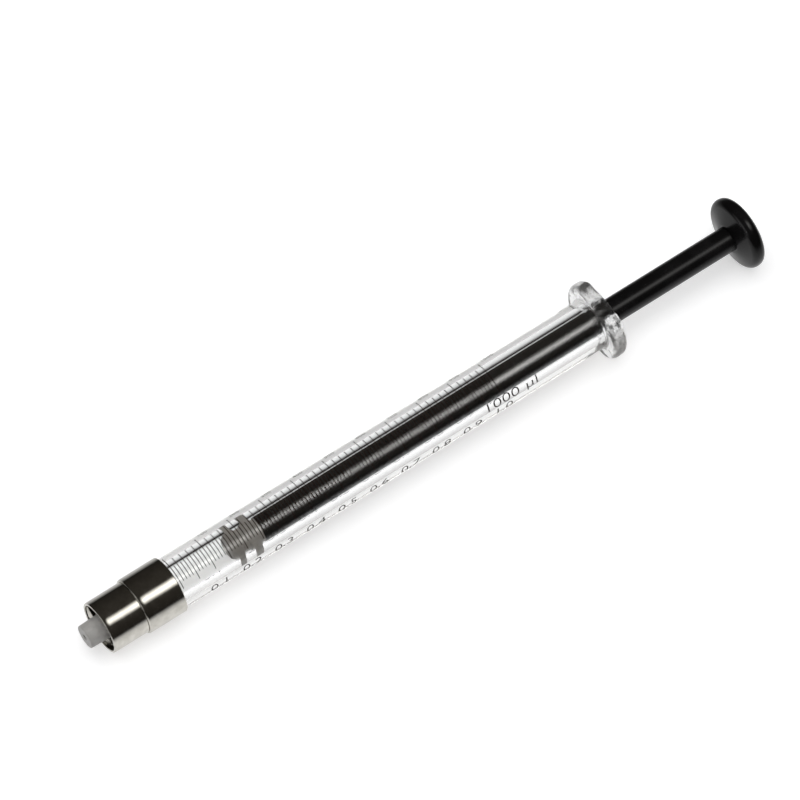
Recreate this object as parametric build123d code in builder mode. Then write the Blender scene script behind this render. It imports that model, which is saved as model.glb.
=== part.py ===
from build123d import *
import os

# A one millilitre glass syringe with a metal luer lock and a PTFE tipped plunger. It lies along X with the
# luer tip at -X, level, with its knob on z = 0. Sizes are in millimetres, angles in degrees, and places that
# end in _at are measured along the axis from the end face of the luer tip

# Glass barrel
bore_diameter = 4.61
barrel_diameter = 8.7
flange_diameter = 13.5
flange_flats = 10.5
flange_thickness = 2.6
flange_corner_radius = 1.4
flange_edge_radius = 0.95
flange_root_chamfer = 0.4
bore_mouth_chamfer = 0.45

# Scale, fired on the glass: its main marks split the whole capacity into scale_divisions spaces
scale_length = 60.0
scale_divisions = 20
divisions_per_major = 2
zero_margin = 0.45
grip_margin = 20.25
mark_width = 0.15
ink_thickness = 0.02
# Angles of the marks' ends round the barrel, from straight up, positive to the +Y side
mark_near_angle = -47.0
minor_far_angle = 5.0
major_far_angle = 38.0

# Luer tip, a six per cent cone of PTFE with a clamped flange
tip_diameter = 3.94
tip_taper = 0.06
tip_projection = 2.7
tip_passage_diameter = 1.0
tip_neck_diameter = 5.0
tip_flange_clearance = 0.15
tip_flange_thickness = 1.3

# Lock shell, a turned cup with the luer thread's root as its bore
shell_bore_diameter = 8.0
shell_wall = 0.475
shell_length = 6.3
shell_depth = 5.5
shell_spigot_diameter = 7.2
shell_spigot_length = 1.9
shell_mouth_chamfer = 0.2

# Ferrule, cemented over the front end of the glass
ferrule_wall = 0.4
ferrule_length = 6.9
ferrule_edge_chamfer = 0.15
cement_thickness = 0.08
cement_margin = 0.25

# Plunger seal, a PTFE cap with two wiping ribs
seal_length = 5.9
seal_nose_diameter = 3.7
seal_waist_diameter = 3.96
first_rib_at_seal = 0.55
first_rib_width = 1.25
second_rib_at_seal = 3.4
second_rib_width = 1.6
rib_shoulder = 0.25
seal_nose_wall = 1.3

# Plunger rod and knob
rod_diameter = 4.3
rod_length = 91.7
rod_stud_diameter = 2.4
rod_tail_diameter = 2.8
rod_tail_length = 2.8
knob_diameter = 12.5
knob_thickness = 4.0
knob_rim_thickness = 2.0
knob_hub_diameter = 5.0
knob_rim_depth = 1.1

# How far the plunger is drawn back in the rest position
drawn_length = 9.95

# Radial clearances: seal_clearance is the running fit, fit_clearance the fixed fits
seal_clearance = 0.012
fit_clearance = 0.02
seat_clearance = 0.05

# Places along the axis
shell_mouth_at = tip_projection
shell_floor_at = shell_mouth_at + shell_depth
shell_end_at = shell_mouth_at + shell_length
spigot_end_at = shell_end_at + shell_spigot_length
glass_front_at = spigot_end_at + tip_flange_thickness
ferrule_end_at = shell_end_at + ferrule_length
zero_at = ferrule_end_at + zero_margin
flange_front_at = zero_at + scale_length + grip_margin
flange_back_at = flange_front_at + flange_thickness
seal_front_at = zero_at + drawn_length
rod_shoulder_at = seal_front_at + seal_length
knob_front_at = rod_shoulder_at + rod_length
total_length = knob_front_at + knob_thickness

# Radii
bore_radius = bore_diameter / 2
barrel_radius = barrel_diameter / 2
ferrule_bore_radius = barrel_radius + cement_thickness
ferrule_radius = ferrule_bore_radius + ferrule_wall
ferrule_seat_radius = shell_spigot_diameter / 2 + seat_clearance
shell_bore_radius = shell_bore_diameter / 2
shell_radius = shell_bore_radius + shell_wall
knob_radius = knob_diameter / 2

# Place of the syringe's axis: it lies level, with its lowest piece on z = 0
tip_x = -total_length / 2
axis_height = max(knob_radius, flange_flats / 2, ferrule_radius, shell_radius)
syringe_axis = Axis((0, 0, axis_height), (1, 0, 0))

# Profiles are drawn here: local x runs back from the tip's end face, local y is the radius
profile_plane = Plane(origin=(tip_x, 0, axis_height), x_dir=(1, 0, 0), z_dir=(0, -1, 0))


# A plane square to the axis, at a distance from the tip's end face, with its local y straight up
def cross_plane(distance):
    return Plane(origin=(tip_x + distance, 0, axis_height), x_dir=(0, 1, 0), z_dir=(1, 0, 0))


def save(part, name):
    part.part.label = name
    export_step(part.part, f"parts/{name}.step")


os.makedirs("parts", exist_ok=True)


# Barrel: a thick glass tube with a flange that has two flats and melted edges
with BuildPart() as barrel:
    with BuildSketch(cross_plane(flange_front_at)) as flange_outline:
        Circle(flange_diameter / 2)
        Rectangle(flange_diameter, flange_flats, mode=Mode.INTERSECT)
        fillet(flange_outline.vertices(), flange_corner_radius)
    extrude(amount=flange_thickness)
    flange_faces = barrel.faces().filter_by(Axis.X)
    fillet(flange_faces.edges(), flange_edge_radius)
    with BuildSketch(profile_plane):
        with BuildLine():
            Polyline(
                (glass_front_at, 0),
                (glass_front_at, barrel_radius),
                (flange_front_at - flange_root_chamfer, barrel_radius),
                (flange_front_at, barrel_radius + flange_root_chamfer),
                (flange_front_at, 0),
                close=True,
            )
        make_face()
    revolve(axis=syringe_axis)
    with BuildSketch(profile_plane):
        with BuildLine():
            Polyline(
                (glass_front_at, 0),
                (glass_front_at, bore_radius),
                (flange_back_at - bore_mouth_chamfer, bore_radius),
                (flange_back_at, bore_radius + bore_mouth_chamfer),
                (flange_back_at, 0),
                close=True,
            )
        make_face()
    revolve(axis=syringe_axis, mode=Mode.SUBTRACT)
save(barrel, "barrel")


# Graduations: thin arcs of ink round the top of the barrel, every second one long
with BuildPart() as graduations:
    for first_division, far_angle in ((0, major_far_angle), (1, minor_far_angle)):
        divisions = range(first_division, scale_divisions + 1, divisions_per_major)
        mark_places = [zero_at + division * scale_length / scale_divisions for division in divisions]
        with BuildSketch(profile_plane.rotated((-far_angle, 0, 0))):
            with Locations([(mark_at, barrel_radius) for mark_at in mark_places]):
                Rectangle(mark_width, ink_thickness, align=(Align.CENTER, Align.MIN))
        revolve(axis=syringe_axis, revolution_arc=far_angle - mark_near_angle)
save(graduations, "graduations")


# Luer tip: the cone, a neck through the shell, a flange clamped on the glass and a spigot in the bore
cone_root_radius = tip_diameter / 2 + shell_floor_at * tip_taper / 2
tip_flange_radius = ferrule_seat_radius - tip_flange_clearance
with BuildPart() as luer_tip:
    with BuildSketch(profile_plane):
        with BuildLine():
            Polyline(
                (0, tip_passage_diameter / 2),
                (0, tip_diameter / 2),
                (shell_floor_at, cone_root_radius),
                (shell_floor_at, tip_neck_diameter / 2),
                (spigot_end_at, tip_neck_diameter / 2),
                (spigot_end_at, tip_flange_radius),
                (glass_front_at, tip_flange_radius),
                (glass_front_at, bore_radius - fit_clearance),
                (zero_at, bore_radius - fit_clearance),
                (zero_at, tip_passage_diameter / 2),
                close=True,
            )
        make_face()
    revolve(axis=syringe_axis)
save(luer_tip, "luer_tip")


# Luer lock shell: its floor holds the tip's neck, and its spigot screws into the ferrule
with BuildPart() as luer_lock_shell:
    with BuildSketch(profile_plane):
        with BuildLine():
            Polyline(
                (shell_mouth_at, shell_bore_radius + shell_mouth_chamfer),
                (shell_mouth_at, shell_radius),
                (shell_end_at, shell_radius),
                (shell_end_at, shell_spigot_diameter / 2),
                (spigot_end_at, shell_spigot_diameter / 2),
                (spigot_end_at, tip_neck_diameter / 2 + seat_clearance),
                (shell_floor_at, tip_neck_diameter / 2 + seat_clearance),
                (shell_floor_at, shell_bore_radius),
                (shell_mouth_at + shell_mouth_chamfer, shell_bore_radius),
                close=True,
            )
        make_face()
    revolve(axis=syringe_axis)
save(luer_lock_shell, "luer_lock_shell")


# Barrel ferrule: a plated sleeve with a shoulder that bears on the end of the glass
with BuildPart() as barrel_ferrule:
    with BuildSketch(profile_plane):
        with BuildLine():
            Polyline(
                (shell_end_at, ferrule_seat_radius),
                (shell_end_at, ferrule_radius - ferrule_edge_chamfer),
                (shell_end_at + ferrule_edge_chamfer, ferrule_radius),
                (ferrule_end_at - ferrule_edge_chamfer, ferrule_radius),
                (ferrule_end_at, ferrule_radius - ferrule_edge_chamfer),
                (ferrule_end_at, ferrule_bore_radius),
                (glass_front_at, ferrule_bore_radius),
                (glass_front_at, ferrule_seat_radius),
                close=True,
            )
        make_face()
    revolve(axis=syringe_axis)
save(barrel_ferrule, "barrel_ferrule")


# Ferrule cement: the thin sleeve of adhesive between the glass and the ferrule
with BuildPart() as ferrule_cement:
    with BuildSketch(cross_plane(glass_front_at + cement_margin)):
        Circle(ferrule_bore_radius)
        Circle(barrel_radius, mode=Mode.SUBTRACT)
    extrude(amount=ferrule_end_at - glass_front_at - 2 * cement_margin)
save(ferrule_cement, "ferrule_cement")


# Plunger seal: a cap with a coned nose and two ribs that wipe the bore
seal_radius = bore_radius - seal_clearance
waist_radius = seal_waist_diameter / 2
first_rib_at = seal_front_at + first_rib_at_seal
second_rib_at = seal_front_at + second_rib_at_seal
stud_front_at = seal_front_at + seal_nose_wall
with BuildPart() as plunger_seal:
    with BuildSketch(profile_plane):
        with BuildLine():
            Polyline(
                (seal_front_at, 0),
                (seal_front_at, seal_nose_diameter / 2),
                (first_rib_at, seal_radius),
                (first_rib_at + first_rib_width, seal_radius),
                (first_rib_at + first_rib_width + rib_shoulder, waist_radius),
                (second_rib_at - rib_shoulder, waist_radius),
                (second_rib_at, seal_radius),
                (second_rib_at + second_rib_width, seal_radius),
                (second_rib_at + second_rib_width + rib_shoulder, waist_radius),
                (rod_shoulder_at, waist_radius),
                (rod_shoulder_at, rod_stud_diameter / 2 + fit_clearance),
                (stud_front_at, rod_stud_diameter / 2 + fit_clearance),
                (stud_front_at, 0),
                close=True,
            )
        make_face()
    revolve(axis=syringe_axis)
save(plunger_seal, "plunger_seal")


# Plunger rod: a bar with a stud for the seal in front and a tail for the knob behind
rod_radius = rod_diameter / 2
rod_tail_end_at = knob_front_at + rod_tail_length
with BuildPart() as plunger_rod:
    with BuildSketch(profile_plane):
        with BuildLine():
            Polyline(
                (stud_front_at, 0),
                (stud_front_at, rod_stud_diameter / 2),
                (rod_shoulder_at, rod_stud_diameter / 2),
                (rod_shoulder_at, rod_radius),
                (knob_front_at, rod_radius),
                (knob_front_at, rod_tail_diameter / 2),
                (rod_tail_end_at, rod_tail_diameter / 2),
                (rod_tail_end_at, 0),
                close=True,
            )
        make_face()
    revolve(axis=syringe_axis)
save(plunger_rod, "plunger_rod")


# Plunger knob: a lens-shaped button with a rounded rim and a blind hole for the rod's tail
hub_radius = knob_hub_diameter / 2
knob_back_at = knob_front_at + knob_thickness
knob_middle_at = knob_front_at + knob_thickness / 2
rim_front = (knob_middle_at - knob_rim_thickness / 2, knob_radius - knob_rim_depth)
rim_back = (knob_middle_at + knob_rim_thickness / 2, knob_radius - knob_rim_depth)
with BuildPart() as plunger_knob:
    with BuildSketch(profile_plane):
        with BuildLine():
            Polyline((knob_front_at, 0), (knob_front_at, hub_radius), rim_front)
            ThreePointArc(rim_front, (knob_middle_at, knob_radius), rim_back)
            Polyline(rim_back, (knob_back_at, hub_radius), (knob_back_at, 0), (knob_front_at, 0))
        make_face()
    revolve(axis=syringe_axis)
    with BuildSketch(cross_plane(knob_front_at)):
        Circle(rod_tail_diameter / 2 + fit_clearance)
    extrude(amount=rod_tail_length + fit_clearance, mode=Mode.SUBTRACT)
save(plunger_knob, "plunger_knob")
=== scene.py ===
import math

import bmesh
import bpy
import numpy as np
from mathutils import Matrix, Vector


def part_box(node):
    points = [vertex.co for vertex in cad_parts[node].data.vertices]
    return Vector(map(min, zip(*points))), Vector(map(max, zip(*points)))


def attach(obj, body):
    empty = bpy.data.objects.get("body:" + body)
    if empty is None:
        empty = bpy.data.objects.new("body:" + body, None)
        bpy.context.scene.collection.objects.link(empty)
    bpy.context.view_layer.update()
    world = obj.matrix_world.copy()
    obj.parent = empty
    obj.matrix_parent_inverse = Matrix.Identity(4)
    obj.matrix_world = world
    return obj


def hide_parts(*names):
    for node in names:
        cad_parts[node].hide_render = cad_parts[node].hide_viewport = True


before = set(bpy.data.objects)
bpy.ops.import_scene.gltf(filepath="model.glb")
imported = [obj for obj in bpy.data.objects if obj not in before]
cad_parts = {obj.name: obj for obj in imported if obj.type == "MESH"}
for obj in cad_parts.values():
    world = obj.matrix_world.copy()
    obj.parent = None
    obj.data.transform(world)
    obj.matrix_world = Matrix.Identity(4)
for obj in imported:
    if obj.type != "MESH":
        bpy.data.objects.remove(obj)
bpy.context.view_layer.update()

mm = 0.001

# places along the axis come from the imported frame, radii from the dictionaries below
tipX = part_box("luer_tip")[0][0]
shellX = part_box("luer_lock_shell")[0][0]
ferruleX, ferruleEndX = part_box("barrel_ferrule")[0][0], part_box("barrel_ferrule")[1][0]
glassX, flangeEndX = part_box("barrel")[0][0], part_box("barrel")[1][0]
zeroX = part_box("luer_tip")[1][0]
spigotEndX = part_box("luer_lock_shell")[1][0]
sealX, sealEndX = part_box("plunger_seal")[0][0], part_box("plunger_seal")[1][0]
studX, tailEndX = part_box("plunger_rod")[0][0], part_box("plunger_rod")[1][0]
knobX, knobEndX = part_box("plunger_knob")[0][0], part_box("plunger_knob")[1][0]
cementX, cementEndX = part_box("ferrule_cement")[0][0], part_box("ferrule_cement")[1][0]
axisZ = (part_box("barrel")[0][2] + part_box("barrel")[1][2]) / 2
print("frame loaded, axis at", round(axisZ / mm, 3), "mm")

barrel = {"outer": 4.35 * mm, "bore": 2.305 * mm, "flange": 6.75 * mm, "flats": 5.25 * mm,
          "thick": 2.6 * mm, "melt": 1.0 * mm, "root": 0.45 * mm, "mouth": 0.4 * mm,
          "frontEdge": 0.15 * mm, "boreEdge": 0.05 * mm, "blend": 60}
flangeX = flangeEndX - barrel["thick"]


def roundedOutline(corners, closed=True, steps=6, hold=0.04 * mm, longest=None):
    # corners are (x, radius from the axis, corner radius). Each corner becomes an arc that touches both of
    # its sides, with one more point just outside each end of the arc, so that the sides shade flat. Sides
    # longer than the longest step are cut into equal steps, for pieces that are shaped between their corners
    mostOfSide, mostOfRest = 0.45, 0.3
    points = np.array([c[:2] for c in corners], float)
    count = len(points)
    outline = []
    for i, (x, r, bend) in enumerate(corners):
        here = points[i]
        if not closed and i in (0, count - 1):
            outline.append(here[None])
            continue
        before, after = points[i - 1] - here, points[(i + 1) % count] - here
        lengthBefore, lengthAfter = np.linalg.norm(before), np.linalg.norm(after)
        before, after = before / lengthBefore, after / lengthAfter
        halfAngle = np.arccos(np.clip(before @ after, -1, 1)) / 2
        reach = min(bend / np.tan(halfAngle), mostOfSide * lengthBefore, mostOfSide * lengthAfter)
        arcRadius = reach * np.tan(halfAngle)
        middle = here + (before + after) / np.linalg.norm(before + after) * arcRadius / np.sin(halfAngle)
        start, end = here + before * reach - middle, here + after * reach - middle
        sweep = np.pi - 2 * halfAngle
        t = np.linspace(0, 1, steps + 1)[:, None]
        arc = middle + (np.sin((1 - t) * sweep) * start + np.sin(t * sweep) * end) / np.sin(sweep)
        outline.append(arc[:1] + before * min(hold, mostOfRest * (lengthBefore - reach)))
        outline.append(arc)
        outline.append(arc[-1:] + after * min(hold, mostOfRest * (lengthAfter - reach)))
    outline = np.vstack(outline)
    if longest:
        nextPoints = np.roll(outline, -1, axis=0)
        cuts = np.ceil(np.linalg.norm(nextPoints - outline, axis=1) / longest).astype(int).clip(1)
        if not closed:
            cuts[-1] = 1
        part = np.concatenate([np.arange(n) / n for n in cuts])[:, None]
        outline = np.repeat(outline, cuts, 0) * (1 - part) + np.repeat(nextPoints, cuts, 0) * part
    return outline[:, 0], outline[:, 1]


def gridMesh(name, points, closed, poles=()):
    # points is a (rows, columns, 3) grid. Neighbouring points make quads, the columns wrap round, the rows
    # too where closed, and a pole is one point joined to every point of the first or the last row
    rows, columns = points.shape[:2]
    rr, cc = np.meshgrid(np.arange(rows if closed else rows - 1), np.arange(columns), indexing="ij")
    r2, c2 = (rr + 1) % rows, (cc + 1) % columns
    quads = np.stack([rr * columns + cc, r2 * columns + cc, r2 * columns + c2, rr * columns + c2], -1)
    quads = quads.reshape(-1, 4)
    verts = points.reshape(-1, 3)
    faces = quads.tolist()
    for row, pole in poles:
        here = row * columns + np.arange(columns)
        nextOne = row * columns + (np.arange(columns) + 1) % columns
        apex = np.full(columns, len(verts))
        fan = (here, nextOne, apex) if row == 0 else (nextOne, here, apex)
        faces += np.stack(fan, -1).tolist()
        verts = np.vstack([verts, pole])
    a, b, d = verts[quads[:, 0]], verts[quads[:, 1]], verts[quads[:, 2]]
    centre = verts.mean(0)
    inward = ((a - centre) * np.cross(b - centre, d - centre)).sum() < 0
    if inward:
        faces = [face[::-1] for face in faces]
    mesh = bpy.data.meshes.new(name)
    mesh.from_pydata(verts.tolist(), [], faces)
    mesh.polygons.foreach_set("use_smooth", np.ones(len(faces), bool))
    mesh.update()
    return mesh


def addPiece(mesh, body, slot, material, *nodes):
    piece = bpy.data.objects.new(mesh.name, mesh)
    bpy.context.collection.objects.link(piece)
    piece.data.materials.append(material)
    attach(piece, body)
    if nodes:
        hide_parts(*nodes)


def turned(name, corners, around=160, steps=6, change=None, longest=None):
    # a turned piece: the outline is carried round the axis, y = r sin a, z = r cos a above the axis.
    # An outline that starts and ends on the axis closes in a pole at each end, any other is a ring
    solid = corners[0][1] == 0
    x, r = roundedOutline(corners, closed=not solid, steps=steps, longest=longest)
    a = np.linspace(0, 2 * np.pi, around, endpoint=False)
    x, a = np.meshgrid(x, a, indexing="ij")
    r = np.broadcast_to(r[:, None], x.shape)
    if change:
        x, r = change(x, r, a)
    points = np.stack([x, r * np.sin(a), axisZ + r * np.cos(a)], -1)
    if not solid:
        return gridMesh(name, points, True)
    poles = ((0, points[0].mean(0)), (len(points) - 3, points[-1].mean(0)))
    return gridMesh(name, points[1:-1], False, poles)


def newMaterial(name):
    material = bpy.data.materials.new(name)
    material.use_nodes = True
    nodes, links = material.node_tree.nodes, material.node_tree.links
    shader = nodes["Principled BSDF"]
    place = nodes.new("ShaderNodeTexCoord")
    return material, nodes, links, shader, place.outputs["Object"]


def stretched(nodes, links, source, scale):
    mapping = nodes.new("ShaderNodeMapping")
    mapping.inputs["Scale"].default_value = scale
    links.new(source, mapping.inputs["Vector"])
    return mapping.outputs["Vector"]


def noise(nodes, links, source, scale, detail=4.0, rough=0.5):
    texture = nodes.new("ShaderNodeTexNoise")
    texture.inputs["Scale"].default_value = scale
    texture.inputs["Detail"].default_value = detail
    texture.inputs["Roughness"].default_value = rough
    links.new(source, texture.inputs["Vector"])
    return texture.outputs["Fac"]


def ramp(nodes, links, source, *stops):
    colours = nodes.new("ShaderNodeValToRGB")
    while len(colours.color_ramp.elements) < len(stops):
        colours.color_ramp.elements.new(0.5)
    for element, (position, colour) in zip(colours.color_ramp.elements, stops):
        element.position = position
        element.color = (*colour, 1)
    links.new(source, colours.inputs["Fac"])
    return colours.outputs["Color"]


def spread(nodes, links, source, low, high, fromLow=0.3, fromHigh=0.7):
    mapped = nodes.new("ShaderNodeMapRange")
    for socket, value in zip(("From Min", "From Max", "To Min", "To Max"), (fromLow, fromHigh, low, high)):
        mapped.inputs[socket].default_value = value
    links.new(source, mapped.inputs["Value"])
    return mapped.outputs["Result"]


def maths(nodes, links, operation, first, second):
    node = nodes.new("ShaderNodeMath")
    node.operation = operation
    for socket, value in zip(node.inputs, (first, second)):
        if isinstance(value, (int, float)):
            socket.default_value = value
        else:
            links.new(value, socket)
    return node.outputs[0]


def bumped(nodes, links, height, distance, shader, under=None):
    bump = nodes.new("ShaderNodeBump")
    bump.inputs["Distance"].default_value = distance
    links.new(height, bump.inputs["Height"])
    if under:
        links.new(under, bump.inputs["Normal"])
    links.new(bump.outputs["Normal"], shader.inputs["Normal"])
    return bump.outputs["Normal"]


def latheRings(nodes, links, source, pitch, wander):
    # fine rings left by turning: bands along the axis, bent a little by noise. At a scale of 1 a band of this
    # texture is about 1 / pi of a unit wide
    bands = nodes.new("ShaderNodeTexWave")
    bands.bands_direction = "X"
    bands.inputs["Scale"].default_value = 1 / pitch / math.pi
    bands.inputs["Distortion"].default_value = wander
    bands.inputs["Detail"].default_value = 3
    bands.inputs["Detail Scale"].default_value = 2
    links.new(source, bands.inputs["Vector"])
    return bands.outputs["Fac"]


def boroGlass():
    # clear glass with the faint lengthwise draw lines of tubing, uneven and a little hazy where the flange
    # was worked in the flame; lamps reach what is inside it
    material, nodes, links, shader, place = newMaterial("boroGlass")
    look = {"tint": (0.995, 1, 1, 1), "index": 1.473, "drawLine": (24, 1100, 1100), "lineDepth": 0.4e-6,
            "lineHaze": 0.012, "shade": (0.99, 0.99, 0.99, 1), "fadeIn": 1.5 * mm, "lump": 1000,
            "lumpDepth": 140e-6, "flangeHaze": 0.16}
    shader.inputs["Base Color"].default_value = look["tint"]
    shader.inputs["IOR"].default_value = look["index"]
    shader.inputs["Transmission Weight"].default_value = 1
    lines = noise(nodes, links, stretched(nodes, links, place, look["drawLine"]), 1.0, 2)
    drawn = bumped(nodes, links, lines, look["lineDepth"], shader)
    apart = nodes.new("ShaderNodeSeparateXYZ")
    links.new(place, apart.inputs[0])
    worked = spread(nodes, links, apart.outputs["X"], 0, 1, flangeX - look["fadeIn"], flangeX)
    lumps = maths(nodes, links, "MULTIPLY", noise(nodes, links, place, look["lump"], 2), worked)
    bumped(nodes, links, lumps, look["lumpDepth"], shader, drawn)
    haze = maths(nodes, links, "MULTIPLY", worked, look["flangeHaze"])
    lineHaze = spread(nodes, links, lines, 0.0, look["lineHaze"])
    links.new(maths(nodes, links, "ADD", lineHaze, haze), shader.inputs["Roughness"])
    clear = nodes.new("ShaderNodeBsdfTransparent")
    clear.inputs["Color"].default_value = look["shade"]
    path = nodes.new("ShaderNodeLightPath")
    mix = nodes.new("ShaderNodeMixShader")
    links.new(path.outputs["Is Shadow Ray"], mix.inputs["Fac"])
    links.new(shader.outputs["BSDF"], mix.inputs[1])
    links.new(clear.outputs["BSDF"], mix.inputs[2])
    links.new(mix.outputs["Shader"], nodes["Material Output"].inputs["Surface"])
    return material


def nickelPlate():
    # bright plating: slightly warm, with faint turning rings under it and a little haze
    material, nodes, links, shader, place = newMaterial("nickelPlate")
    look = {"dark": (0.45, 0.435, 0.395), "light": (0.555, 0.54, 0.50), "haze": 700, "smooth": 0.09,
            "rough": 0.15, "ring": 0.09 * mm, "ringWander": 1.5, "ringDepth": 0.12e-6}
    cloud = noise(nodes, links, place, look["haze"], 5, 0.6)
    plate = ramp(nodes, links, cloud, (0.35, look["dark"]), (0.65, look["light"]))
    links.new(plate, shader.inputs["Base Color"])
    shader.inputs["Metallic"].default_value = 1
    links.new(spread(nodes, links, cloud, look["smooth"], look["rough"]), shader.inputs["Roughness"])
    rings = latheRings(nodes, links, place, look["ring"], look["ringWander"])
    bumped(nodes, links, rings, look["ringDepth"], shader)
    return material


def waxyPtfe(name, dark, light, through):
    # PTFE: cloudy and waxy, light goes a little way in, with soft turning rings
    material, nodes, links, shader, place = newMaterial(name)
    look = {"cloud": 900, "smooth": 0.38, "rough": 0.52, "depths": (1.0, 0.95, 0.9), "depth": 0.6 * mm,
            "ring": 0.16 * mm, "ringWander": 2.0, "ringDepth": 2e-6}
    cloud = noise(nodes, links, place, look["cloud"], 5, 0.55)
    links.new(ramp(nodes, links, cloud, (0.3, dark), (0.7, light)), shader.inputs["Base Color"])
    links.new(spread(nodes, links, cloud, look["smooth"], look["rough"]), shader.inputs["Roughness"])
    shader.inputs["Subsurface Weight"].default_value = through
    shader.inputs["Subsurface Radius"].default_value = look["depths"]
    shader.inputs["Subsurface Scale"].default_value = look["depth"]
    rings = latheRings(nodes, links, place, look["ring"], look["ringWander"])
    bumped(nodes, links, rings, look["ringDepth"], shader)
    return material


def blackAnodised(name, smooth, rough):
    # black dye in a satin oxide skin: rings from turning, fine grain, slightly paler where it is rubbed
    material, nodes, links, shader, place = newMaterial(name)
    look = {"dye": (0.004, 0.0038, 0.004), "rubbed": (0.009, 0.0085, 0.009), "wear": 260, "index": 1.29,
            "ring": 0.11 * mm, "ringWander": 1.2, "ringDepth": 0.5e-6, "grain": 2600, "grainDepth": 1.2e-6}
    wear = noise(nodes, links, place, look["wear"], 6, 0.6)
    black = ramp(nodes, links, wear, (0.45, look["dye"]), (0.75, look["rubbed"]))
    links.new(black, shader.inputs["Base Color"])
    shader.inputs["IOR"].default_value = look["index"]
    links.new(spread(nodes, links, wear, smooth, rough), shader.inputs["Roughness"])
    rings = latheRings(nodes, links, place, look["ring"], look["ringWander"])
    ringed = bumped(nodes, links, rings, look["ringDepth"], shader)
    grain = noise(nodes, links, place, look["grain"], 2)
    bumped(nodes, links, grain, look["grainDepth"], shader, ringed)
    return material


def firedInk():
    # ink baked into the glass: near black, a little patchy, dull
    material, nodes, links, shader, place = newMaterial("firedInk")
    look = {"dark": (0.008, 0.003, 0.002), "light": (0.020, 0.008, 0.005), "patch": 5000, "index": 1.12,
            "smooth": 0.55, "rough": 0.75, "depth": 2e-6}
    patch = noise(nodes, links, place, look["patch"], 3)
    ink = ramp(nodes, links, patch, (0.3, look["dark"]), (0.75, look["light"]))
    links.new(ink, shader.inputs["Base Color"])
    shader.inputs["IOR"].default_value = look["index"]
    links.new(spread(nodes, links, patch, look["smooth"], look["rough"]), shader.inputs["Roughness"])
    bumped(nodes, links, patch, look["depth"], shader)
    return material


def curedCement():
    # amber epoxy with small cloudy spots
    material, nodes, links, shader, place = newMaterial("curedCement")
    look = {"dark": (0.34, 0.29, 0.2), "light": (0.5, 0.45, 0.34), "spot": 2200, "smooth": 0.3,
            "rough": 0.5, "depth": 4e-6}
    spots = noise(nodes, links, place, look["spot"], 5)
    amber = ramp(nodes, links, spots, (0.35, look["dark"]), (0.7, look["light"]))
    links.new(amber, shader.inputs["Base Color"])
    links.new(spread(nodes, links, spots, look["smooth"], look["rough"]), shader.inputs["Roughness"])
    bumped(nodes, links, spots, look["depth"], shader)
    return material


glassFinish = boroGlass()
nickelFinish = nickelPlate()
# the tip's white PTFE is given a mid grey: painted shade, the white drawn darker as if it were under less
# light
shadedTipFinish = waxyPtfe("ptfeGreyShaded", (0.36, 0.35, 0.335), (0.45, 0.44, 0.425), 0.3)
# the seal is a darker copy of the same PTFE: its darker grey is painted shade for the seal lying inside the
# barrel, not a different material
shadedSealFinish = waxyPtfe("sealPtfeDarkerShade", (0.29, 0.28, 0.265), (0.38, 0.37, 0.355), 0.3)
rodFinish = blackAnodised("blackRod", 0.235, 0.26)
knobFinish = blackAnodised("blackKnob", 0.13, 0.2)
inkFinish = firedInk()
cementFinish = curedCement()
print("finishes made")


def flangeReach(a):
    # distance from the axis to the flange's outline at angle a from straight up: a circle cut by two flats,
    # the two blended as powers so that the corners between them are soft
    p, nearlyZero = barrel["blend"], 1e-6
    flat = barrel["flats"] / np.maximum(np.abs(np.cos(a)), nearlyZero)
    return (barrel["flange"] ** -p + flat ** -p) ** (-1 / p)


def flattenFlange(x, r, a):
    # outside the tube the radius is scaled so that the rim follows the flange's outline
    past = np.maximum(r - barrel["outer"], 0)
    room = (flangeReach(a) - barrel["outer"]) / (barrel["flange"] - barrel["outer"])
    return x, np.where(past > 0, barrel["outer"] + past * room, r)


addPiece(turned("glassBarrel", [
    (glassX, barrel["bore"], barrel["boreEdge"]),
    (glassX, barrel["outer"], barrel["frontEdge"]),
    (flangeX, barrel["outer"], barrel["root"]),
    (flangeX, barrel["flange"], barrel["melt"]),
    (flangeEndX, barrel["flange"], barrel["melt"]),
    (flangeEndX, barrel["bore"], barrel["mouth"]),
], around=256, steps=12, change=flattenFlange), "barrel", "borosilicate_glass", glassFinish, "barrel")
print("glass barrel made")

# near and far are where a mark ends, in degrees from straight up, negative on the near side
scale = {"length": 60.0 * mm, "divisions": 100, "line": 0.12 * mm, "ink": 0.018 * mm, "near": -33.0,
         "far": 5.0, "everySecondFar": 24.5, "everyFifthNear": -47.0, "everyTenthFar": 38.0,
         "degreesPerStep": 2.0}


def onBarrel(x, a, height):
    # a point on the glass: x along it, angle a from straight up towards the far side, height above the glass
    r = barrel["outer"] + height
    return np.stack([x, r * np.sin(a), axisZ + r * np.cos(a)], -1)


def scaleMark(x, near, far):
    # a bar of ink bent round the barrel: four edges swept from the near angle to the far one, ends closed
    steps = int(np.ceil((far - near) / scale["degreesPerStep"]))
    a = np.radians(np.linspace(near, far, steps + 1))[:, None]
    side = np.array([-1, 1, 1, -1]) * scale["line"] / 2
    height = np.array([0, 0, 1, 1]) * scale["ink"]
    ring = onBarrel(x + side + 0 * a, a + 0 * side, height + 0 * a)
    i, j = np.meshgrid(np.arange(steps), np.arange(4), indexing="ij")
    k = (j + 1) % 4
    quads = np.stack([i * 4 + j, (i + 1) * 4 + j, (i + 1) * 4 + k, i * 4 + k], -1).reshape(-1, 4)
    ends = np.array([[0, 1, 2, 3], [steps * 4 + 3, steps * 4 + 2, steps * 4 + 1, steps * 4]])
    return ring.reshape(-1, 3), np.vstack([quads, ends])


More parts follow.
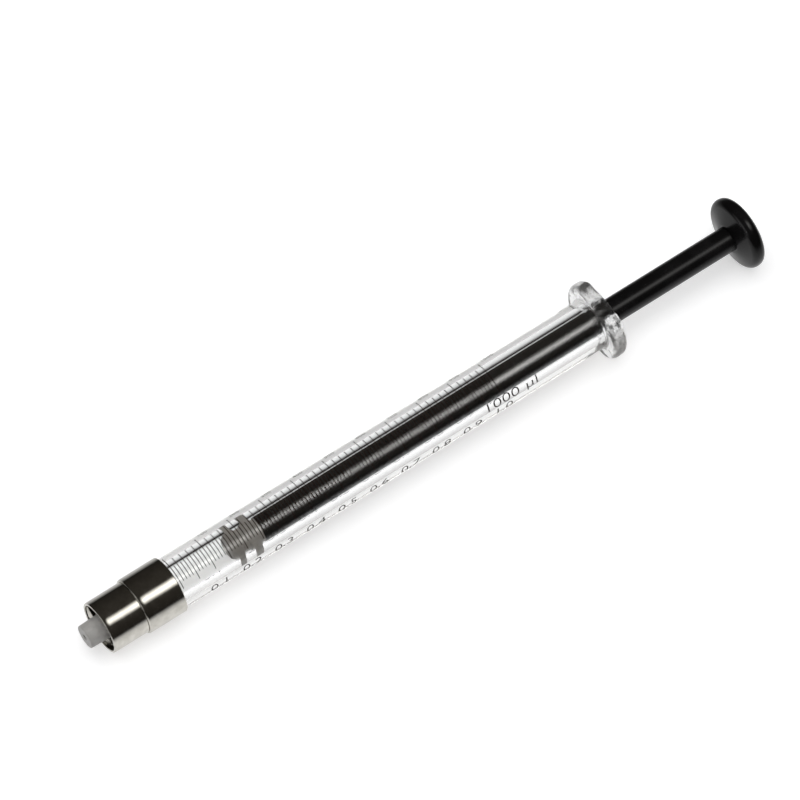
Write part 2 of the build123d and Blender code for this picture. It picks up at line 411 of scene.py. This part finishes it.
verts, faces, count = [], [], 0
for division in range(scale["divisions"] + 1):
    near, far = scale["near"], scale["far"]
    if division % 2 == 0:
        far = scale["everySecondFar"]
    if division % 5 == 0:
        near = scale["everyFifthNear"]
    if division % 10 == 0:
        far = scale["everyTenthFar"]
    points, quads = scaleMark(zeroX + scale["length"] * division / scale["divisions"], near, far)
    verts.append(points)
    faces.append(quads + count)
    count += len(points)
markMesh = bpy.data.meshes.new("scaleMarks")
markMesh.from_pydata(np.vstack(verts).tolist(), [], np.vstack(faces).tolist())
addPiece(markMesh, "barrel", "fired_ink", inkFinish, "graduations")
print("scale marks made:", scale["divisions"] + 1)

# the strips are shares of the letters' size
figures = {"capacity": "1000 µl", "capacitySize": 2.45 * mm, "capacityX": 56.4 * mm, "capacityAngle": -76.0,
           "capacityWide": 1.42, "thinner": -0.034 * mm, "numeralSize": 1.25 * mm,
           "numeralThinner": -0.022 * mm, "numeralAfter": 0.7 * mm, "numeralAngle": 40.0, "rowSize": 2.3 * mm,
           "rowAngle": -102.0, "rowWide": 1.35, "curveSteps": 6, "stripsFrom": -0.3, "stripsTo": 1.0,
           "strip": 0.06, "sameVertex": 1e-7, "onPlane": 1e-8}


def bentText(name, words, size, x, angle, thin, align="LEFT", wide=1.0):
    # plain figures: drawn flat, cut into narrow strips across their height, then wrapped on the barrel,
    # with x along it and the letters' height as an angle round it
    curve = bpy.data.curves.new(name, "FONT")
    curve.body = words
    curve.size = size
    curve.offset = thin
    curve.extrude = scale["ink"] / 2
    curve.align_x = align
    curve.resolution_u = figures["curveSteps"]
    flat = bpy.data.objects.new(name + "Flat", curve)
    bpy.context.collection.objects.link(flat)
    mesh = bpy.data.meshes.new_from_object(flat.evaluated_get(bpy.context.evaluated_depsgraph_get()))
    bpy.data.objects.remove(flat)
    shape = bmesh.new()
    shape.from_mesh(mesh)
    bmesh.ops.remove_doubles(shape, verts=shape.verts, dist=figures["sameVertex"])
    for height in np.arange(figures["stripsFrom"], figures["stripsTo"], figures["strip"]) * size:
        everything = shape.verts[:] + shape.edges[:] + shape.faces[:]
        bmesh.ops.bisect_plane(shape, geom=everything, plane_co=(0, height, 0), plane_no=(0, 1, 0),
                               dist=figures["onPlane"])
    shape.to_mesh(mesh)
    shape.free()
    points = np.empty(len(mesh.vertices) * 3)
    mesh.vertices.foreach_get("co", points)
    points = points.reshape(-1, 3)
    a = math.radians(angle) + points[:, 1] / barrel["outer"]
    points = onBarrel(x + points[:, 0] * wide, a, points[:, 2] + scale["ink"] / 2)
    mesh.vertices.foreach_set("co", points.ravel())
    mesh.name = name
    mesh.update()
    return mesh


addPiece(bentText("capacityMark", figures["capacity"], figures["capacitySize"], zeroX + figures["capacityX"],
                  figures["capacityAngle"], figures["thinner"], wide=figures["capacityWide"]),
         "barrel", "fired_ink", inkFinish)
for major in range(1, 11):
    x = zeroX + scale["length"] * major / 10
    addPiece(bentText(f"numeral{major * 100}", str(major * 100), figures["numeralSize"],
                      x + figures["numeralAfter"], figures["numeralAngle"], figures["numeralThinner"]),
             "barrel", "fired_ink", inkFinish)
    addPiece(bentText(f"millilitres{major}", f"{major / 10:.1f}", figures["rowSize"], x,
                      figures["rowAngle"], figures["thinner"], align="CENTER", wide=figures["rowWide"]),
             "barrel", "fired_ink", inkFinish)
print("figures made")

lock = {"outer": 4.475 * mm, "root": 4.0 * mm, "crest": 3.55 * mm, "neck": 2.55 * mm, "spigot": 3.6 * mm,
        "floorAt": 5.5 * mm, "wall": 0.8 * mm, "edge": 0.1 * mm, "shoulderEdge": 0.03 * mm,
        "spigotEdge": 0.06 * mm, "neckEdge": 0.04 * mm, "cornerEdge": 0.12 * mm, "longestStep": 0.09 * mm,
        "lead": 5.0 * mm, "starts": 2, "ridge": 0.34, "steepness": 1.9, "roundness": 0.8,
        "threadFrom": 0.35 * mm, "threadFadeIn": 0.5 * mm, "threadStop": 0.5 * mm, "threadFadeOut": 0.4 * mm,
        "sameRadius": 1e-7, "buffed": 0.7 * mm, "buffedDrop": 0.055 * mm}
shoulderX = shellX + lock["floorAt"] + lock["wall"]
floorX = shellX + lock["floorAt"]


def buffFront(x, r, start, outer):
    # polishing rolls the outside away towards the front edge, by the square of the nearness to that edge
    way = np.clip(1 - (x - start) / lock["buffed"], 0, 1)
    return np.where(r > outer - lock["edge"], r - lock["buffedDrop"] * way ** 2, r)


def shellThread(x, r, a):
    # two ridges wind along the bore, one turn each per lead; each is a smooth hump that fades at both ends
    turn = np.mod(lock["starts"] * (a / (2 * np.pi) - (x - shellX) / lock["lead"]), 1)
    hump = np.clip(1 - np.abs(turn - 0.5) / lock["ridge"], 0, 1)
    hump = np.clip(hump * lock["steepness"], 0, 1) ** lock["roundness"]
    fadeIn = np.clip((x - shellX - lock["threadFrom"]) / lock["threadFadeIn"], 0, 1)
    fadeOut = np.clip((floorX - lock["threadStop"] - x) / lock["threadFadeOut"], 0, 1)
    inBore = (np.abs(r - lock["root"]) < lock["sameRadius"]) & (x < floorX)
    r = np.where(inBore, r - (lock["root"] - lock["crest"]) * hump * (fadeIn * fadeOut), r)
    return x, buffFront(x, r, shellX, lock["outer"])


addPiece(turned("lockShell", [
    (shellX, lock["root"], lock["edge"]),
    (shellX, lock["outer"], lock["edge"]),
    (shoulderX, lock["outer"], lock["edge"]),
    (shoulderX, lock["spigot"], lock["shoulderEdge"]),
    (spigotEndX, lock["spigot"], lock["spigotEdge"]),
    (spigotEndX, lock["neck"], lock["neckEdge"]),
    (floorX, lock["neck"], lock["neckEdge"]),
    (floorX, lock["root"], lock["cornerEdge"]),
], around=256, change=shellThread, longest=lock["longestStep"]),
    "barrel", "nickel_plate", nickelFinish, "luer_lock_shell")

sleeve = {"outer": 4.83 * mm, "bore": 4.43 * mm, "seat": 3.65 * mm, "edge": 0.26 * mm, "seatEdge": 0.05 * mm,
          "endEdge": 0.08 * mm, "innerEdge": 0.03 * mm, "longestStep": 0.1 * mm}


def buffFerrule(x, r, a):
    return x, buffFront(x, r, ferruleX, sleeve["outer"])


addPiece(turned("barrelFerrule", [
    (ferruleX, sleeve["seat"], sleeve["seatEdge"]),
    (ferruleX, sleeve["outer"], sleeve["edge"]),
    (ferruleEndX, sleeve["outer"], sleeve["edge"]),
    (ferruleEndX, sleeve["bore"], sleeve["endEdge"]),
    (glassX, sleeve["bore"], sleeve["innerEdge"]),
    (glassX, sleeve["seat"], sleeve["innerEdge"]),
], around=224, change=buffFerrule, longest=sleeve["longestStep"]),
    "barrel", "nickel_plate", nickelFinish, "barrel_ferrule")

tip = {"end": 1.97 * mm, "taper": 0.03, "passage": 0.5 * mm, "neck": 2.5 * mm, "flange": 3.5 * mm,
       "spigot": 2.285 * mm, "edge": 0.12 * mm, "endEdge": 0.2 * mm, "coneEdge": 0.02 * mm,
       "neckEdge": 0.05 * mm, "innerEdge": 0.03 * mm, "spigotEdge": 0.15 * mm, "passageEdge": 0.1 * mm}
addPiece(turned("luerTip", [
    (tipX, tip["passage"], tip["edge"]),
    (tipX, tip["end"], tip["endEdge"]),
    (floorX, tip["end"] + tip["taper"] * (floorX - tipX), tip["coneEdge"]),
    (floorX, tip["neck"], tip["neckEdge"]),
    (spigotEndX, tip["neck"], tip["innerEdge"]),
    (spigotEndX, tip["flange"], tip["edge"]),
    (glassX, tip["flange"], tip["edge"]),
    (glassX, tip["spigot"], tip["innerEdge"]),
    (zeroX, tip["spigot"], tip["spigotEdge"]),
    (zeroX, tip["passage"], tip["passageEdge"]),
], around=160), "barrel", "ptfe", shadedTipFinish, "luer_tip")

cement = {"edge": 0.01 * mm}
addPiece(turned("ferruleCement", [
    (cementX, barrel["outer"], cement["edge"]),
    (cementX, sleeve["bore"], cement["edge"]),
    (cementEndX, sleeve["bore"], cement["edge"]),
    (cementEndX, barrel["outer"], cement["edge"]),
], around=128, steps=2), "barrel", "cement", cementFinish, "ferrule_cement")
print("luer end made")

# the ribs stand 0.003 mm past the surface of the bore, so that they look wet on the glass
seal = {"rib": 2.308 * mm, "waist": 1.98 * mm, "nose": 1.85 * mm, "noseEdge": 0.18 * mm,
        "firstRib": 0.55 * mm, "firstWidth": 1.25 * mm, "secondRib": 3.4 * mm, "secondWidth": 1.6 * mm,
        "slope": 0.25 * mm, "hole": 1.22 * mm, "lip": 0.3 * mm, "waistEdge": 0.12 * mm,
        "tailEdge": 0.1 * mm, "endEdge": 0.06 * mm, "holeEdge": 0.05 * mm}
firstRibX, secondRibX = sealX + seal["firstRib"], sealX + seal["secondRib"]
addPiece(turned("plungerSeal", [
    (sealX, 0, 0),
    (sealX, seal["nose"], seal["noseEdge"]),
    (firstRibX, seal["rib"], seal["lip"]),
    (firstRibX + seal["firstWidth"], seal["rib"], seal["lip"]),
    (firstRibX + seal["firstWidth"] + seal["slope"], seal["waist"], seal["waistEdge"]),
    (secondRibX - seal["slope"], seal["waist"], seal["waistEdge"]),
    (secondRibX, seal["rib"], seal["lip"]),
    (secondRibX + seal["secondWidth"], seal["rib"], seal["lip"]),
    (secondRibX + seal["secondWidth"] + seal["slope"], seal["waist"], seal["tailEdge"]),
    (sealEndX, seal["waist"], seal["endEdge"]),
    (sealEndX, seal["hole"], seal["holeEdge"]),
    (studX, seal["hole"], seal["holeEdge"]),
    (studX, 0, 0),
], around=160), "plunger", "ptfe", shadedSealFinish, "plunger_seal")

rod = {"outer": 2.15 * mm, "stud": 1.2 * mm, "tail": 1.4 * mm, "edge": 0.08 * mm, "studEdge": 0.15 * mm,
       "seatEdge": 0.03 * mm}
addPiece(turned("plungerRod", [
    (studX, 0, 0),
    (studX, rod["stud"], rod["studEdge"]),
    (sealEndX, rod["stud"], rod["seatEdge"]),
    (sealEndX, rod["outer"], rod["edge"]),
    (knobX, rod["outer"], rod["seatEdge"]),
    (knobX, rod["tail"], rod["seatEdge"]),
    (tailEndX, rod["tail"], rod["studEdge"]),
    (tailEndX, 0, 0),
], around=160), "plunger", "black_anodised", rodFinish, "plunger_rod")

knob = {"outer": 6.25 * mm, "hub": 2.5 * mm, "hubBend": 1.2 * mm, "rim": 2.0 * mm, "rimBend": 1.25 * mm,
        "hole": 1.42 * mm, "holeDepth": 2.82 * mm, "holeEdge": 0.05 * mm, "mouthEdge": 0.03 * mm}
rimFrontX = (knobX + knobEndX - knob["rim"]) / 2
rimBackX = rimFrontX + knob["rim"]
addPiece(turned("plungerKnob", [
    (knobX + knob["holeDepth"], 0, 0),
    (knobX + knob["holeDepth"], knob["hole"], knob["holeEdge"]),
    (knobX, knob["hole"], knob["mouthEdge"]),
    (knobX, knob["hub"], knob["hubBend"]),
    (rimFrontX, knob["outer"], knob["rimBend"]),
    (rimBackX, knob["outer"], knob["rimBend"]),
    (knobEndX, knob["hub"], knob["hubBend"]),
    (knobEndX, 0, 0),
], around=192, steps=14), "plunger", "black_anodised", knobFinish, "plunger_knob")
print("plunger made")


def studioFloor():
    # a pale table: it takes the object's soft shadow, and looks white to the camera. Metal and glass show it
    # too, and there it darkens on both sides of its brightest line, which runs along the object, as
    # 1 / (1 + (distance / reach) squared)
    material, nodes, links, shader, place = newMaterial("studioFloor")
    table = {"lift": 0.47, "mirrored": 0.50, "reach": 29 * mm, "brightest": -6 * mm, "grain": 40,
             "dark": (0.79, 0.79, 0.795), "light": (0.81, 0.81, 0.815), "rough": 0.9, "sheen": 0.1}
    path = nodes.new("ShaderNodeLightPath").outputs
    apart = nodes.new("ShaderNodeSeparateXYZ")
    links.new(place, apart.inputs[0])
    away = maths(nodes, links, "SUBTRACT", apart.outputs["Y"], table["brightest"])
    away = maths(nodes, links, "DIVIDE", away, table["reach"])
    away = maths(nodes, links, "ADD", maths(nodes, links, "MULTIPLY", away, away), 1.0)
    level = maths(nodes, links, "MAXIMUM", maths(nodes, links, "DIVIDE", 1.0, away), path["Is Camera Ray"])
    grain = noise(nodes, links, place, table["grain"], 3)
    colour = ramp(nodes, links, grain, (0.3, table["dark"]), (0.7, table["light"]))
    dimmed = nodes.new("ShaderNodeVectorMath")
    dimmed.operation = "SCALE"
    links.new(colour, dimmed.inputs[0])
    links.new(level, dimmed.inputs["Scale"])
    links.new(dimmed.outputs[0], shader.inputs["Base Color"])
    shader.inputs["Roughness"].default_value = table["rough"]
    shader.inputs["Specular IOR Level"].default_value = table["sheen"]
    mirrored = maths(nodes, links, "MAXIMUM", path["Is Glossy Ray"], path["Is Transmission Ray"])
    mirrored = maths(nodes, links, "MULTIPLY", mirrored, table["mirrored"])
    seen = maths(nodes, links, "MULTIPLY", path["Is Camera Ray"], table["lift"])
    strength = maths(nodes, links, "MULTIPLY", maths(nodes, links, "MAXIMUM", seen, mirrored), level)
    glow = nodes.new("ShaderNodeEmission")
    links.new(strength, glow.inputs["Strength"])
    both = nodes.new("ShaderNodeAddShader")
    links.new(shader.outputs["BSDF"], both.inputs[0])
    links.new(glow.outputs["Emission"], both.inputs[1])
    links.new(both.outputs["Shader"], nodes["Material Output"].inputs["Surface"])
    return material


# the syringe lies on its ferrule's front edge and its knob's rim, so the table slopes between them
restX, restZ = ferruleX, axisZ - sleeve["outer"]
knobRestX, knobRestZ = (rimFrontX + rimBackX) / 2, axisZ - knob["outer"]
slope = (knobRestZ - restZ) / (knobRestX - restX)
sheet = {"left": -0.40, "right": 0.40, "near": -0.26, "far": 0.26}
corners = np.array([[sheet["left"], sheet["near"]], [sheet["right"], sheet["near"]],
                    [sheet["right"], sheet["far"]], [sheet["left"], sheet["far"]]])
heights = restZ + (corners[:, 0] - restX) * slope
floorMesh = bpy.data.meshes.new("tableTop")
floorMesh.from_pydata(np.column_stack([corners, heights]).tolist(), [], [(0, 1, 2, 3)])
floorMesh.materials.append(studioFloor())
floor = bpy.data.objects.new("tableTop", floorMesh)
bpy.context.collection.objects.link(floor)

world = bpy.data.worlds.new("studio")
bpy.context.scene.world = world
world.use_nodes = True
world.cycles.sampling_method = "NONE"
skyNodes, skyLinks = world.node_tree.nodes, world.node_tree.links
background = skyNodes["Background"]
# white to the camera, a plain level for the surfaces, a dark room in metal; in glass the room is dark low
# down and grows paler overhead, between the heights low and high of a direction
room = {"white": 1.0, "ambient": 0.42, "dark": 0.025, "ceiling": 0.05, "overhead": 0.16, "low": 0.0,
        "high": 0.5, "walls": (1, 0.9, 0.78, 1)}
skyPath = skyNodes.new("ShaderNodeLightPath").outputs
direction = skyNodes.new("ShaderNodeTexCoord")
apart = skyNodes.new("ShaderNodeSeparateXYZ")
skyLinks.new(direction.outputs["Generated"], apart.inputs[0])
above = spread(skyNodes, skyLinks, apart.outputs["Z"], 0, room["overhead"], room["low"], room["high"])
inGlass = maths(skyNodes, skyLinks, "MULTIPLY", above, skyPath["Is Transmission Ray"])
inMetal = spread(skyNodes, skyLinks, apart.outputs["Z"], room["dark"], room["ceiling"], 0, 1)
level = maths(skyNodes, skyLinks, "MAXIMUM", inGlass, inMetal)
bounced = maths(skyNodes, skyLinks, "MINIMUM", skyPath["Diffuse Depth"], 1.0)
lit = maths(skyNodes, skyLinks, "MULTIPLY", bounced, room["ambient"])
level = maths(skyNodes, skyLinks, "MAXIMUM", level, lit)
white = maths(skyNodes, skyLinks, "MULTIPLY", skyPath["Is Camera Ray"], room["white"])
skyLinks.new(maths(skyNodes, skyLinks, "MAXIMUM", level, white), background.inputs["Strength"])
wallColour = skyNodes.new("ShaderNodeMix")
wallColour.data_type = "RGBA"
wallColour.inputs[6].default_value = (1, 1, 1, 1)
wallColour.inputs[7].default_value = room["walls"]
skyLinks.new(skyPath["Is Glossy Ray"], wallColour.inputs["Factor"])
skyLinks.new(wallColour.outputs[2], background.inputs["Color"])

cameraSet = {"distance": 0.818, "tilt": 17.06, "elevation": 65.0, "focal": 234.7, "sensor": 36,
             "aimAt": 63.35 * mm, "aimPixel": (420.74, 429.2), "pixelsPerMetre": 6375, "frame": 800,
             "farthest": 20}
tilt, elevation = math.radians(cameraSet["tilt"]), math.radians(cameraSet["elevation"])
towards = Vector((-math.sin(tilt), -math.cos(tilt) * math.cos(elevation),
                  math.cos(tilt) * math.sin(elevation)))
aim = Vector((tipX + cameraSet["aimAt"], 0, axisZ))
right = towards.cross(Vector((0, 0, -1))).normalized()
up = towards.cross(right)
pixelX, pixelY = cameraSet["aimPixel"]
middle, perMetre = cameraSet["frame"] / 2, cameraSet["pixelsPerMetre"]
centre = aim - right * (pixelX - middle) / perMetre + up * (pixelY - middle) / perMetre
camera = bpy.data.objects.new("camera", bpy.data.cameras.new("camera"))
camera.data.lens = cameraSet["focal"]
camera.data.sensor_width = cameraSet["sensor"]
camera.data.clip_end = cameraSet["farthest"]
camera.location = aim + towards * cameraSet["distance"]
camera.rotation_euler = (centre - camera.location).to_track_quat("-Z", "Y").to_euler()
bpy.context.collection.objects.link(camera)
bpy.context.scene.camera = camera


def softbox(name, panel, place, target, shines=True):
    # a panel lamp; its power is radiance times pi times its area. One kind is only seen in metal, gloss and
    # glass and falls off smoothly from its middle to its sides, the other only lights the surfaces
    lamp = bpy.data.lights.new(name, "AREA")
    lamp.shape = "RECTANGLE"
    lamp.size, lamp.size_y = panel["width"], panel["height"]
    lamp.energy = panel["radiance"] * math.pi * panel["width"] * panel["height"]
    lamp.color = panel["colour"]
    if shines:
        lamp.use_nodes = True
        nodes, links = lamp.node_tree.nodes, lamp.node_tree.links
        middle = nodes.new("ShaderNodeVectorMath")
        middle.operation = "DISTANCE"
        middle.inputs[1].default_value = (0.5, 0.5, 0)
        links.new(nodes.new("ShaderNodeNewGeometry").outputs["Parametric"], middle.inputs[0])
        fall = nodes.new("ShaderNodeMapRange")
        fall.interpolation_type = "SMOOTHSTEP"
        fall.inputs["From Max"].default_value = 0.5
        fall.inputs["To Min"].default_value = 1
        fall.inputs["To Max"].default_value = 0
        links.new(middle.outputs["Value"], fall.inputs["Value"])
        links.new(fall.outputs["Result"], nodes["Emission"].inputs["Strength"])
    stand = bpy.data.objects.new(name, lamp)
    stand.location = place
    stand.rotation_euler = (Vector(target) - Vector(place)).to_track_quat("-Z", "Y").to_euler()
    stand.visible_glossy = shines
    stand.visible_transmission = shines
    stand.visible_diffuse = not shines
    stand.visible_camera = False
    bpy.context.collection.objects.link(stand)


key = {"distance": 0.7, "elevation": 67.7, "x": 0.235, "width": 0.54, "height": 0.54, "radiance": 4.9,
       "colour": (1, 0.99, 0.96)}
keyAngle = math.radians(key["elevation"])
softbox("keyPanel", key,
        (key["x"], -key["distance"] * math.cos(keyAngle), key["distance"] * math.sin(keyAngle)),
        (key["x"], 0, 0))
fill = {"place": (-0.04, 0.03, 0.66), "width": 0.7, "height": 0.7, "radiance": 1.6, "colour": (1, 1, 1)}
softbox("shadePanel", fill, fill["place"], (0, 0, 0), shines=False)
endCard = {"place": (-0.75, 0.02, 0.24), "width": 1.3, "height": 0.7, "radiance": 1.8, "colour": (1, 1, 1)}
softbox("endCard", endCard, endCard["place"], (tipX, 0, axisZ))

bpy.context.scene.view_settings.view_transform = "Standard"
print("stage set")
